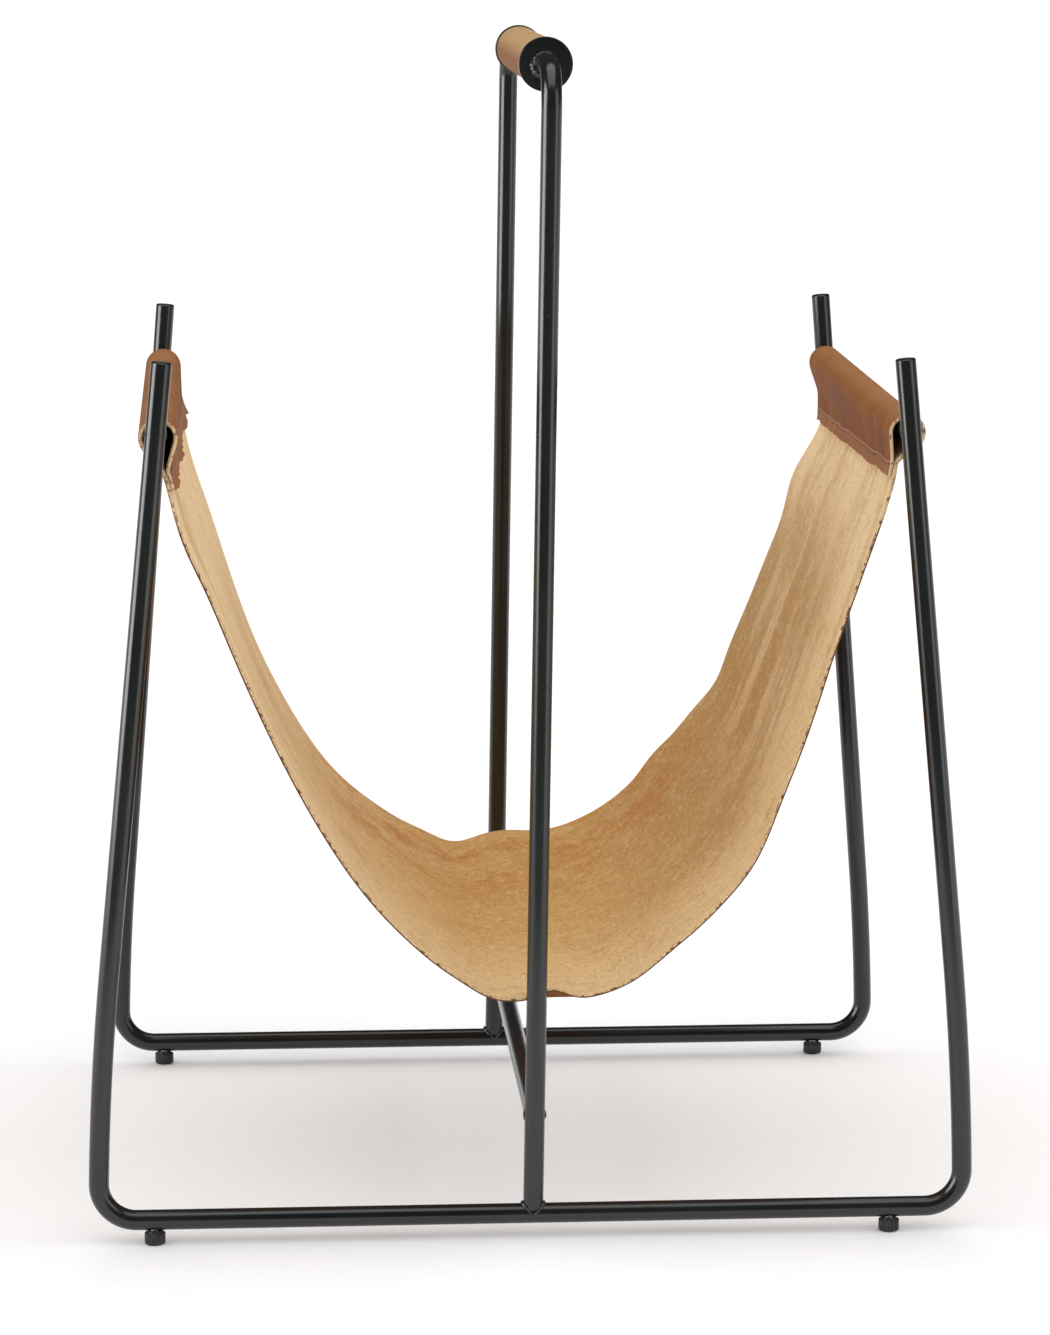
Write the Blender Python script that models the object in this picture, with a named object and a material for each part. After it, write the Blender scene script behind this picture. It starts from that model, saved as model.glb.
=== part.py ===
"""Magazine rack: a bent steel rod frame that carries a leather sling.

Metres, +Z up, the front at -Y. The origin is on the floor, in the middle of the rack's outline.
"""
from math import acos, cos, pi, radians, sin, tan

import bmesh
import bpy
import numpy as np
from mathutils import Vector

MM = 0.001
GAP = 0.3 * MM                      # left between pieces that touch
CUT_REACH = 20.0 * MM               # how far a cope's cutter reaches past the rod

# Steel rod
ROD_R = 5.0 * MM
ROD_SIDES = 16
TIP_CHAMFER = 0.9 * MM

# The two side frames: a rail on the floor side, and two legs that lean inwards
RAIL_Z = 12.0 * MM                  # rail's centre line above the floor
RAIL_STRAIGHT = {"front": 195.7 * MM, "back": 193.5 * MM}    # half a rail's straight length
CORNER_R = 18.5 * MM                # bend from rail to leg, at the centre line
FRAME_Y = 162.7 * MM                # frames' centre planes from the middle
LEG_HEIGHT = 424.0 * MM             # leg's tip above the rail's centre line
SHORT_LEG = ("back", "left")        # this leg is cut shorter than the others
SHORT_LEG_CUT = 4.0 * MM
LEAN_LOW = radians(1.5)             # leg's lean just above the corner
LEAN_HIGH = {"front": radians(5.63), "back": radians(4.6)}   # leg's lean higher up
BOW_R = 1500.0 * MM                 # gentle bend between the two leans

# Cross bars between the front and back legs, under the leg tips
BAR_DROP = 35.0 * MM

# Handle loop, in its own frame on the rails' centre lines
HANDLE_LEAN = radians(0.76)
HANDLE_HEIGHT = 562.9 * MM          # grip's axis above the rails' centre lines
HANDLE_BEND_R = 20.0 * MM
STRETCHER_HEIGHT = 50.0 * MM

# Grip
GRIP_HALF = 100.0 * MM              # grip's middle to a disc's outer face
GRIP_Y = -20.0 * MM                 # grip's middle
DISC_R = {"front": 13.2 * MM, "back": 12.5 * MM}
DISC_THICK = 2.6 * MM
GRIP_EDGE = 0.5 * MM                # bevel on the ends of the grip's pieces
LEATHER_R = 11.9 * MM
CORE_R = 10.3 * MM

# Sling. A pair holds a value at the front edge and one at the back edge
SLING_HALF = 156.0 * MM             # half its length, front to back
LEATHER = 2.0 * MM
SLEEVE_R = 6.7 * MM                 # sleeve's inner radius
CLOSING_IN = {"left": (3.4 * MM, 8.0 * MM), "right": (5.7 * MM, 1.6 * MM)}    # inward from the bar
CLOSING_DROP = {"left": (19.0 * MM, 19.0 * MM), "right": (15.5 * MM, 17.5 * MM)}    # below the bar
FLAP = {"left": (10.0 * MM, 10.0 * MM), "right": (9.0 * MM, 18.0 * MM)}       # double leather
FLAP_LEAN = {"left": (radians(22), radians(14)), "right": (radians(6), radians(-2))}
SAG_STEPS = 37                      # points across the sag
STATIONS = 6                        # sections from front to back
SEAM = 4.0 * MM                     # stitching above the flap's raw edge
THREAD_R = 0.4 * MM
THREAD_GAP = 0.45 * MM              # between the flap and the thread
THREAD_INSET = 4.0 * MM             # thread's end to the sling's edge
SLING_LOW = (118.9 * MM, 130.9 * MM)    # lowest mid-surface height
SLING_POWER = (2.3, 2.6)                # roundness of the sag
SLING_SHIFT = (9.0 * MM, -9.0 * MM)     # sideways shift of the lowest part

# Feet
FOOT_X = {("front", "left"): -187.0 * MM, ("front", "right"): 178.0 * MM,
          ("back", "left"): -188.0 * MM, ("back", "right"): 183.5 * MM}
FOOT_R = 5.15 * MM
FOOT_BODY = 5.8 * MM                # height of the ribbed part
FOOT_TOP_BEVEL = 0.5 * MM
FOOT_ROUNDING = 1.0 * MM            # rounding of the bottom edge
RIBS = 20
RIB_DEPTH = 0.4 * MM
NECK_R = 3.8 * MM
STUD_R = 2.5 * MM
STUD_CHAMFER = 0.4 * MM
STUD_BOTTOM = 2.3 * MM
STUD_TOP = 14.2 * MM

SIDES = {"front": -1, "back": 1}
HANDS = {"left": -1, "right": 1}


# ---------------------------------------------------------------- helpers

def material(name, colour, roughness, metallic=0.0):
    """A new material with its Principled shader set."""
    mat = bpy.data.materials.new(name)
    mat.use_nodes = True
    shader = mat.node_tree.nodes["Principled BSDF"]
    shader.inputs["Base Color"].default_value = (*colour, 1.0)
    shader.inputs["Roughness"].default_value = roughness
    shader.inputs["Metallic"].default_value = metallic
    mat.diffuse_color = (*colour, 1.0)
    return mat


def link(name, data, mat, parent=None):
    """Adds an object, with the material in its only slot."""
    obj = bpy.data.objects.new(name, data)
    bpy.context.scene.collection.objects.link(obj)
    if mat:
        data.materials.append(mat)
    obj.parent = parent
    return obj


def smooth(mesh):
    """Shades a mesh smooth and keeps its corners sharp."""
    mesh.shade_smooth()
    mesh.set_sharp_from_angle(angle=radians(40))


def finish(bm, name):
    """Turns a closed bmesh into a smooth shaded mesh."""
    bmesh.ops.recalc_face_normals(bm, faces=bm.faces)
    mesh = bpy.data.meshes.new(name)
    bm.to_mesh(mesh)
    bm.free()
    smooth(mesh)
    return mesh


def rod(name, path, mat, parent=None, radius=ROD_R, taper=0.0, sides=ROD_SIDES):
    """A round rod along the path, made by a curve's bevel. taper narrows both ends."""
    curve = bpy.data.curves.new(name, "CURVE")
    curve.dimensions = "3D"
    curve.bevel_depth = radius
    curve.bevel_resolution = (sides - 4) // 2
    curve.use_fill_caps = True
    spline = curve.splines.new("POLY")
    spline.points.add(len(path) - 1)
    for point, position in zip(spline.points, path):
        point.co = (*position, 1.0)
    if taper:
        spline.points[0].radius = spline.points[-1].radius = 1.0 - taper / radius
    guide = bpy.data.objects.new(name + "_curve", curve)
    bpy.context.scene.collection.objects.link(guide)
    bpy.context.view_layer.update()
    mesh = bpy.data.meshes.new_from_object(guide.evaluated_get(bpy.context.evaluated_depsgraph_get()))
    bpy.data.objects.remove(guide)
    mesh.name = name
    smooth(mesh)
    return link(name, mesh, mat, parent)


def arc(centre, start, end, radius, steps, axes):
    """Points of an arc about centre, in the plane of the two axes, without its first point."""
    across, up = (Vector(a) for a in axes)
    turn = [start + (end - start) * i / steps for i in range(1, steps + 1)]
    return [centre + radius * (cos(a) * across + sin(a) * up) for a in turn]


def cutter(name, start, end, radius, parent=None):
    """A hidden cylinder that cuts other objects."""
    start, end = Vector(start), Vector(end)
    bm = bmesh.new()
    bmesh.ops.create_cone(bm, cap_ends=True, segments=32, radius1=radius, radius2=radius,
                          depth=(end - start).length)
    mesh = bpy.data.meshes.new(name)
    bm.to_mesh(mesh)
    bm.free()
    obj = link(name, mesh, None, parent)
    obj.location = (start + end) / 2
    obj.rotation_euler = (end - start).to_track_quat("Z", "Y").to_euler()
    obj.hide_render = True
    obj.display_type = "WIRE"
    return obj


def cut(obj, *cutters):
    """Takes the cutters away from an object."""
    for tool in cutters:
        modifier = obj.modifiers.new(tool.name, "BOOLEAN")
        modifier.operation = "DIFFERENCE"
        modifier.object = tool


def turned(name, profile, mat, parent=None, along="Z", steps=40):
    """A turned piece: the closed profile of (radius, height) points goes round one axis."""
    mesh = bpy.data.meshes.new(name)
    points = [(r, 0.0, h) for r, h in profile]
    loop = [(i, (i + 1) % len(points)) for i in range(len(points))]
    mesh.from_pydata(points, loop, [])
    obj = link(name, mesh, mat, parent)
    screw = obj.modifiers.new("turn", "SCREW")
    screw.steps = screw.render_steps = steps
    screw.use_merge_vertices = True
    screw.merge_threshold = 0.00001
    screw.use_smooth_shade = True
    if along == "Y":
        obj.rotation_euler = (radians(-90), 0, 0)
    return obj


def tube_profile(inner, outer, low, high):
    """A tube's section with bevelled outer edges, down its outer side."""
    edge = GRIP_EDGE
    return [(inner, high), (outer - edge, high), (outer, high - edge),
            (outer, low + edge), (outer - edge, low), (inner, low)]


# ---------------------------------------------------------------- steel frame

def leg_path(side, hand):
    """From the middle of a side frame's rail to the tip of one leg."""
    straight, lean = RAIL_STRAIGHT[side], LEAN_HIGH[side]
    height = LEG_HEIGHT - (SHORT_LEG_CUT if (side, hand) == SHORT_LEG else 0)
    centre = Vector((straight, 0, CORNER_R))
    axes = ((1, 0, 0), (0, 0, 1))
    path = [Vector((0, 0, 0)), Vector((straight, 0, 0))]
    path += arc(centre, -pi / 2, LEAN_LOW, CORNER_R, 9, axes)
    bow = path[-1] - BOW_R * Vector((cos(LEAN_LOW), 0, sin(LEAN_LOW)))
    path += arc(bow, LEAN_LOW, lean, BOW_R, 6, axes)
    last = path[-1]
    upward = Vector((-tan(lean), 0, 1))
    path.append(last + upward * (height - TIP_CHAMFER - last.z))
    path.append(last + upward * (height - last.z))
    return [Vector((HANDS[hand] * p.x, SIDES[side] * FRAME_Y, p.z + RAIL_Z)) for p in path]


def bar_point(side):
    """x and z of the right leg's centre line where the cross bar meets it."""
    tip = leg_path(side, "right")[-1]
    return tip.x + tan(LEAN_HIGH[side]) * BAR_DROP, tip.z - BAR_DROP


def side_frame(side, mat):
    """A rail and its two legs, bent from one rod, with a tapped hole over each foot."""
    path = leg_path(side, "left")[::-1] + leg_path(side, "right")[1:]
    frame = rod(side + "_frame", path, mat, taper=TIP_CHAMFER)
    y = SIDES[side] * FRAME_Y
    for hand in HANDS:
        x = FOOT_X[side, hand]
        top = (x, y, STUD_TOP + GAP)
        cut(frame, cutter(f"{side}_{hand}_tapped_hole", (x, y, 0), top, STUD_R + GAP))


def cross_bar(hand, mat):
    """Joins the front leg to the back leg; its ends are coped round the legs."""
    ends = []
    for side, sign in SIDES.items():
        x, z = bar_point(side)
        ends.append(Vector((HANDS[hand] * x, sign * FRAME_Y, z)))
    bar = rod(hand + "_cross_bar", ends, mat)
    for side, end in zip(SIDES, ends):
        slope = Vector((-HANDS[hand] * tan(LEAN_HIGH[side]), 0, 1)) * CUT_REACH
        cut(bar, cutter(f"{side}_{hand}_cope", end - slope, end + slope, ROD_R + GAP))


def handle_loop(parent, mat):
    """Up from the front rail, over the grip and down to the back rail."""
    axes = ((0, 1, 0), (0, 0, 1))
    bend_y, bend_z = FRAME_Y - HANDLE_BEND_R, HANDLE_HEIGHT - HANDLE_BEND_R
    path = [Vector((0, -FRAME_Y, 0)), Vector((0, -FRAME_Y, bend_z))]
    path += arc(Vector((0, -bend_y, bend_z)), pi, pi / 2, HANDLE_BEND_R, 8, axes)
    path.append(Vector((0, bend_y, HANDLE_HEIGHT)))
    path += arc(Vector((0, bend_y, bend_z)), pi / 2, 0, HANDLE_BEND_R, 8, axes)
    path.append(Vector((0, FRAME_Y, 0)))
    loop = rod("handle_loop", path, mat, parent)
    for side, sign in SIDES.items():
        y = sign * FRAME_Y
        rail = Vector((0, y, RAIL_Z))
        along, below = Vector((CUT_REACH, 0, 0)), Vector((0, 0, -CUT_REACH))
        cut(loop, cutter(side + "_rail_cope", rail - along, rail + along, ROD_R + GAP))
        cut(loop, cutter(side + "_post_trim", rail + below, rail, 2 * ROD_R))


def stretcher(parent, mat):
    """Low bar between the two posts of the handle loop."""
    ends = [Vector((0, sign * FRAME_Y, STRETCHER_HEIGHT)) for sign in SIDES.values()]
    bar = rod("stretcher", ends, mat, parent)
    upward = Vector((0, 0, CUT_REACH))
    for side, end in zip(SIDES, ends):
        cut(bar, cutter(side + "_post_cope", end - upward, end + upward, ROD_R + GAP, parent))


# ---------------------------------------------------------------- grip

def grip(parent, steel, leather, wood):
    """Two welded discs with a leather covered core between them, all round the handle's rod."""
    hole = ROD_R + GAP
    inside = GRIP_HALF - DISC_THICK - GAP
    core = tube_profile(hole, CORE_R, -inside, inside)
    cover = tube_profile(CORE_R + GAP, LEATHER_R, -inside, inside)
    pieces = [turned("grip_core", core, wood, parent, "Y"),
              turned("grip_leather", cover, leather, parent, "Y")]
    for side, sign in SIDES.items():
        low, high = sorted((sign * GRIP_HALF, sign * (GRIP_HALF - DISC_THICK)))
        disc = tube_profile(hole, DISC_R[side], low, high)
        pieces.append(turned(side + "_grip_disc", disc, steel, parent, "Y"))
    for piece in pieces:
        piece.location = (0, GRIP_Y, HANDLE_HEIGHT)


# ---------------------------------------------------------------- sling

def between(pair, blend):
    """A value between the pair's; blend is 0 at the front edge and 1 at the back edge."""
    return pair[0] + (pair[1] - pair[0]) * blend


def corner(hand, blend):
    """(x, z) on the sheet's middle where a sleeve closes and its flap ends, and the sleeve's centre."""
    sign = HANDS[hand]
    ends = [bar_point(side) for side in SIDES]
    bar_x, bar_z = (between(pair, blend) for pair in zip(*ends))
    closing = np.array((sign * (bar_x - between(CLOSING_IN[hand], blend)),
                        bar_z - between(CLOSING_DROP[hand], blend)))
    lean = between(FLAP_LEAN[hand], blend)
    flap_end = closing - between(FLAP[hand], blend) * np.array((sign * sin(lean), cos(lean)))
    return closing, flap_end, np.array((sign * bar_x, bar_z + ROD_R + GAP - SLEEVE_R))


def sag(blend):
    """Middle surface from the left sleeve to the right one, with the distance along it."""
    left_closing, left_end, _ = corner("left", blend)
    right_closing, right_end, _ = corner("right", blend)
    low = between(SLING_LOW, blend)
    t = np.linspace(-1, 1, 801)
    share = np.abs(t) ** between(SLING_POWER, blend)
    height = low + share * np.where(t < 0, left_end[1] - low, right_end[1] - low)
    x = (left_end[0] * (1 - t) + right_end[0] * (1 + t)) / 2 + between(SLING_SHIFT, blend) * (1 - share)
    points = np.concatenate(([left_closing], np.stack((x, height), axis=1), [right_closing]))
    length = np.concatenate(((0,), np.cumsum(np.linalg.norm(np.diff(points, axis=0), axis=1))))
    return points, length


def at(points, length, where):
    """Positions and inward normals at distances along the sheet's middle surface."""
    position = np.stack([np.interp(where, length, points[:, i]) for i in (0, 1)], axis=1)
    slope = np.stack([np.interp(where, length, np.gradient(points[:, i], length)) for i in (0, 1)], axis=1)
    slope /= np.linalg.norm(slope, axis=1)[:, None]
    return position, np.stack((-slope[:, 1], slope[:, 0]), axis=1)


def sleeve_arc(hand, blend, radius, meet, steps):
    """Round part of a sleeve, from its outer side over the top to its pocket side."""
    closing, _, centre = corner(hand, blend)
    drop = np.linalg.norm(closing - centre)
    down = (closing - centre) / drop
    inward = HANDS[hand] * np.array((down[1], -down[0]))
    open_angle = acos((radius - meet) / drop)
    angles = np.linspace(-open_angle, -2 * pi + open_angle, steps)
    return [centre + radius * (cos(a) * down + sin(a) * inward) for a in angles]


def flap_face(blend):
    """Points on the flaps' pocket faces, and on the sheet's own face under them.

    Each has four points: the left closing, the left flap's end, the right flap's end and the
    right closing.
    """
    points, length = sag(blend)
    left, right = between(FLAP["left"], blend), between(FLAP["right"], blend)
    middle, normal = at(points, length, np.array((0, left, length[-1] - right, length[-1])))
    return middle + 1.5 * LEATHER * normal, middle + 0.5 * LEATHER * normal


def sling_section(blend):
    """Outline and the two sleeve hollows of the sling's section, as (x, z) points."""
    points, length = sag(blend)
    total = length[-1]
    half = LEATHER / 2
    left, right = between(FLAP["left"], blend), between(FLAP["right"], blend)
    outer_at, outer_n = at(points, length, np.linspace(0, total, SAG_STEPS))
    inner_at, inner_n = at(points, length, np.linspace(left, total - right, SAG_STEPS))
    outside = list(outer_at - half * outer_n)
    inside = list((inner_at + half * inner_n)[::-1])
    flaps, closings = flap_face(blend)
    outer_r = SLEEVE_R + LEATHER
    outline = outside + sleeve_arc("right", blend, outer_r, LEATHER, 17) + [flaps[3], flaps[2]]
    outline += inside + [flaps[1], flaps[0]] + sleeve_arc("left", blend, outer_r, LEATHER, 17)[::-1]
    hollows = []
    for hand, end in (("right", 3), ("left", 0)):
        hollows.append([closings[end]] + sleeve_arc(hand, blend, SLEEVE_R, 0, 15))
    return outline, hollows


def stations():
    """The sections' blends and their places from front to back."""
    blends = np.linspace(0, 1, STATIONS)
    return blends, (2 * blends - 1) * SLING_HALF


def sling(mat):
    """One sheet of leather with a sewn sleeve at each end, open at both ends of each sleeve."""
    bm = bmesh.new()
    rings = []
    for blend, y in zip(*stations()):
        outline, hollows = sling_section(blend)
        rings.append([[bm.verts.new((p[0], y, p[1])) for p in loop] for loop in (outline, *hollows)])
    for here, there in zip(rings, rings[1:]):
        for loop_a, loop_b in zip(here, there):
            for i in range(len(loop_a)):
                j = (i + 1) % len(loop_a)
                bm.faces.new((loop_a[i], loop_a[j], loop_b[j], loop_b[i]))
    for end in (rings[0], rings[-1]):
        edges = [bm.edges.get((loop[i - 1], loop[i])) for loop in end for i in range(len(loop))]
        bmesh.ops.triangle_fill(bm, use_beauty=True, edges=edges)
    link("sling", finish(bm, "sling"), mat)


def seam_threads(mat):
    """The line of stitching that closes each sleeve, on the pocket side of its flap."""
    blends, ys = stations()
    last = SLING_HALF - THREAD_INSET
    for hand, (closing, raw) in (("left", (0, 1)), ("right", (3, 2))):
        line = []
        for blend in blends:
            faces, _ = flap_face(blend)
            up = faces[closing] - faces[raw]
            up /= np.linalg.norm(up)
            off = HANDS[hand] * np.array((-up[1], up[0]))
            line.append(faces[raw] + SEAM * up + (THREAD_R + THREAD_GAP) * off)
        line = np.array(line)
        path = [Vector((np.interp(y, ys, line[:, 0]), y, np.interp(y, ys, line[:, 1])))
                for y in (-last, *ys[1:-1], last)]
        rod(hand + "_seam_thread", path, mat, radius=THREAD_R, sides=8)


# ---------------------------------------------------------------- feet

def foot_mesh():
    """A ribbed pad with a neck and a blind hole for its stud, made from rings of vertices."""
    hole = STUD_R + GAP
    neck_top = RAIL_Z - ROD_R - GAP
    halfway = 0.3 * FOOT_ROUNDING               # how far the rounding's middle lies from its corner
    rings = [(hole, STUD_BOTTOM - GAP, 0), (hole, neck_top, 0),
             (NECK_R, neck_top, 0), (NECK_R, FOOT_BODY, 0),
             (FOOT_R - FOOT_TOP_BEVEL, FOOT_BODY, 1), (FOOT_R, FOOT_BODY - FOOT_TOP_BEVEL, 1),
             (FOOT_R, FOOT_ROUNDING, 1), (FOOT_R - halfway, halfway, 1), (FOOT_R - FOOT_ROUNDING, 0, 0)]
    bm = bmesh.new()
    loops = []
    for radius, z, ribbed in rings:
        loop = []
        for i in range(2 * RIBS):
            r = radius - ribbed * RIB_DEPTH * (i % 2)
            angle = pi * i / RIBS
            loop.append(bm.verts.new((r * cos(angle), r * sin(angle), z)))
        loops.append(loop)
    for a, b in zip(loops, loops[1:]):
        for i in range(2 * RIBS):
            j = (i + 1) % (2 * RIBS)
            bm.faces.new((a[i], a[j], b[j], b[i]))
    bm.faces.new(loops[0])
    bm.faces.new(loops[-1])
    return finish(bm, "foot")


def feet(plastic, zinc):
    """Four screw-in levelling feet. Each foot turns and travels on its stud's axis."""
    shared = foot_mesh()
    shared.materials.append(plastic)
    end_r = STUD_R - STUD_CHAMFER
    profile = [(0, STUD_TOP), (end_r, STUD_TOP), (STUD_R, STUD_TOP - STUD_CHAMFER),
               (STUD_R, STUD_BOTTOM + STUD_CHAMFER), (end_r, STUD_BOTTOM), (0, STUD_BOTTOM)]
    for (side, hand), x in FOOT_X.items():
        place = Vector((x, SIDES[side] * FRAME_Y, 0))
        foot = link(f"{side}_{hand}_foot", shared, None)
        foot.location = place
        stud = turned(f"{side}_{hand}_stud", profile, zinc, steps=24)
        stud.location = place


def main():
    """Empties the file and builds the rack."""
    for obj in list(bpy.data.objects):
        bpy.data.objects.remove(obj)
    black = material("black_powder_coat", (0.02, 0.022, 0.022), 0.4, 0.3)
    tan_leather = material("sling_leather", (0.61, 0.40, 0.20), 0.8)
    brown_leather = material("grip_leather", (0.42, 0.22, 0.11), 0.55)
    wood = material("grip_core_wood", (0.55, 0.40, 0.25), 0.7)
    plastic = material("foot_plastic", (0.02, 0.02, 0.02), 0.55)
    zinc = material("stud_zinc", (0.6, 0.6, 0.58), 0.35, 1.0)
    thread = material("seam_thread", (0.40, 0.24, 0.13), 0.8)
    for side in SIDES:
        side_frame(side, black)
    for hand in HANDS:
        cross_bar(hand, black)
    handle = bpy.data.objects.new("handle_pivot", None)
    bpy.context.scene.collection.objects.link(handle)
    handle.location.z = RAIL_Z
    handle.rotation_euler.y = HANDLE_LEAN
    handle_loop(handle, black)
    stretcher(handle, black)
    grip(handle, black, brown_leather, wood)
    sling(tan_leather)
    seam_threads(thread)
    feet(plastic, zinc)


main()
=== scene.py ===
"""The looks of a magazine rack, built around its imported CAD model.

Metres, +Z up, +X to the right, the front at -Y. Each piece takes its place from the frame.
"""

from math import acos, cos, pi, radians, sin, tan

import bmesh
import bpy
import numpy as np
from mathutils import Matrix, Vector, noise

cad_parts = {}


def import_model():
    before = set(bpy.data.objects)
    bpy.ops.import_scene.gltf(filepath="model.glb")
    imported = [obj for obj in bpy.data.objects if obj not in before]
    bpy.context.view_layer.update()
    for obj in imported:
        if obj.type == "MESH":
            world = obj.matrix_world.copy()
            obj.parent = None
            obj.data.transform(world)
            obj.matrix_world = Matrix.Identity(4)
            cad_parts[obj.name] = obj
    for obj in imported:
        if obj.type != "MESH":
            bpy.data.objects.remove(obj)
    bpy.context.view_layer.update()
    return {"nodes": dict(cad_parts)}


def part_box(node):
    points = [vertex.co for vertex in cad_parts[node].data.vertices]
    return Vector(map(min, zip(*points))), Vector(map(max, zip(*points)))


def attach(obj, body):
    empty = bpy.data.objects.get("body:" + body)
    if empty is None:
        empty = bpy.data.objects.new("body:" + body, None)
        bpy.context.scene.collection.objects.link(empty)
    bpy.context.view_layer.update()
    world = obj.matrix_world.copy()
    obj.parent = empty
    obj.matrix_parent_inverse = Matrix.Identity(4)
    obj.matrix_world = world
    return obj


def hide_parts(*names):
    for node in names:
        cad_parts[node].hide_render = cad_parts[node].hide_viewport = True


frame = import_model()

MM = 0.001
SHARP = 40                    # degrees between two faces from which their edge shows
SIDES = {"front": -1, "back": 1}
HANDS = {"left": -1, "right": 1}

# Steel rod, with the shapes of the CAD model's rods
ROD_R = 5.0 * MM
ROD_SIDES = 40
TIP_ROUNDING = 1.0 * MM
CORNER_R = 18.5 * MM
LEAN_LOW = radians(1.5)
LEAN_HIGH = {"front": radians(5.63), "back": radians(4.6)}
BOW_R = 1500.0 * MM
SHORT_LEG = ("back", "left")
SHORT_LEG_CUT = 4.0 * MM
BAR_DROP = 35.0 * MM          # leg's tip down to the cross bar
HANDLE_LEAN = radians(0.76)
HANDLE_BEND_R = 20.0 * MM
BEND_STEPS = 22
BOW_STEPS = 16
HANDLE_FOOT = 0.55 * ROD_R    # the posts' ends, sunk in the rails
STRETCHER_HEIGHT = 50.0 * MM  # above the rails' centre lines
COPE_GAP = 0.02 * MM          # between a coped end and the rod it meets
FOOT_HOLE_R = 2.8 * MM
FOOT_HOLE_TOP = 14.5 * MM

# Welds
BEAD_R = 1.0 * MM
BEAD_SIDES = 12
BEAD_STEPS = 96               # along a bead between two rods
BEAD_RIPPLES = 22
BAR_BEAD_SHARE = 0.7
DISC_BEAD_R = 2.0 * MM
DISC_BEAD_STEPS = 120
DISC_BEAD_OUT = 0.4 * MM      # rod's side to the middle of a disc's bead
SPATTER_R = 0.45 * MM
SPATTER = ((-0.5, -5.5 * MM), (0.15, -9.0 * MM), (0.45, 7.0 * MM))  # turn from the front, height

# Grip
GRIP_GAP = 0.3 * MM           # between rod and disc, and between disc and leather
DISC_THICK = 2.6 * MM
DISC_ROUNDING = 0.5 * MM
GRIP_SIDES = 96
COVER_SIDES = 192
COVER_STEPS = 44              # rings between the cover's rounded ends
COVER_ROUNDING = 0.6 * MM
COVER_WAVE = 0.16 * MM
SEAM_DEPTH = 0.5 * MM
SEAM_WIDTH = 0.35 * MM
CORE_R = 10.6 * MM

# Sling. A pair holds a value at the front edge and one at the back edge
LEATHER = 2.0 * MM
INNER, OUTER, CUT = 0, 1, 2   # the sheet's materials: its two sides and its cut edges
SLEEVE_R = {"left": 8.7 * MM, "right": 8.2 * MM}    # to the middle of the leather
SLEEVE_OUT = 7.6 * MM         # bar's centre to the sleeve's outer side
SLEEVE_TOP = 6.3 * MM         # bar's centre to the top of the sleeve, both to mid-leather
CLOSING_IN = {"left": (3.4 * MM, 8.0 * MM), "right": (5.7 * MM, 1.6 * MM)}
CLOSING_DROP = {"left": (19.0 * MM, 19.0 * MM), "right": (15.5 * MM, 17.5 * MM)}
FLAP = {"left": (10.0 * MM, 10.0 * MM), "right": (9.0 * MM, 18.0 * MM)}
FLAP_LEAN = {"left": (radians(22), radians(14)), "right": (radians(6), radians(-2))}
FLAP_GAP = 0.15 * MM          # between the flap and the sheet it is sewn to
FLAP_LIFT = {"left": 2.2 * MM, "right": 0.8 * MM}
FLAP_WAVE = {"left": 1.6 * MM, "right": 0.9 * MM}
SEAM = 5.8 * MM               # stitches to the flap's raw edge
SLING_LOW = (118.9 * MM, 130.9 * MM)
SLING_POWER = (2.3, 2.6)      # roundness of the sag
SLING_SHIFT = (9.0 * MM, -9.0 * MM)
SAG_POINTS = 801
SHAPED_POINTS = 1401          # on the sag with its closing points, to be smoothed and creased
SAG_SMOOTHING = 120
SAG_FADE = 0.015              # share of the sag at each end that is free of creases
RING_POINTS = 60              # round a sleeve
FLAP_POINTS = 8
SECTION_STEPS = 620           # mesh points round the section
SECTION_FINENESS = 4          # points for each mesh point while the section is smoothed
SECTION_SMOOTHING = 40
STEP_ALONG = 3.4 * MM         # mesh step from front to back
EDGE_STEPS = (0.0, 0.25 * MM, 0.7 * MM, 1.6 * MM)
EDGE_THINNING = (0.74, 0.93, 1.0, 1.0)
EDGE_SWAY = 0.55 * MM
EDGE_NICKS = 0.22 * MM
EDGE_SETBACK = 0.6 * MM       # keeps the wandering cut edge inside the straight one
EDGE_ZONE = 0.2               # share of the half width where the edge's wander fades out
RIM_WEAR = 4.0 * MM
STITCH_PITCH = 4.2 * MM
STITCH_LENGTH = 3.3 * MM
STITCH_END = 5.0 * MM         # first stitch to the sheet's edge
STITCH_SINK = 0.1 * MM
THREAD_R = 0.32 * MM

# Creases of the sag: place along the sheet from 0 left to 1 right, width, and depth in mm towards
# the pocket at the front edge and at the back edge
CREASES = (
    (0.050, 0.035, -2.5, -1.5),
    (0.210, 0.060, 0.0, -1.0),
    (0.390, 0.040, 0.8, 2.0),
    (0.463, 0.020, -2.5, -4.0),
    (0.507, 0.025, 0.1, 3.0),
    (0.600, 0.030, 2.0, 0.0),
    (0.655, 0.022, 0.0, 2.5),
    (0.690, 0.040, -3.5, 0.5),
    (0.737, 0.026, 0.0, -3.2),
    (0.860, 0.070, 3.0, 2.5),
    (0.925, 0.030, 0.5, 4.5),
)
LIP_PLACE = 0.510             # a small lip that curls up at the middle of the front edge
LIP_WIDTH = 0.012
LIP_REACH = 3.6 * MM
LIP_RISE = 5.0 * MM

# Feet and their studs
FOOT_RIBS = 20
RIB_DEPTH = 0.45 * MM
FOOT_BODY = 5.8 * MM          # height of the ribbed part, under the neck
FOOT_SOLE = 2.0 * MM          # closed bottom under the stud's hole
NECK_R = 3.8 * MM
THREAD_PITCH = 0.8 * MM
THREAD_DEPTH = 0.42 * MM
THREAD_RUN_OUT = 0.6 * MM     # the thread fades in this far from the stud's ends
STUD_SIDES = 24
STUD_LEVELS = 84

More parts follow.
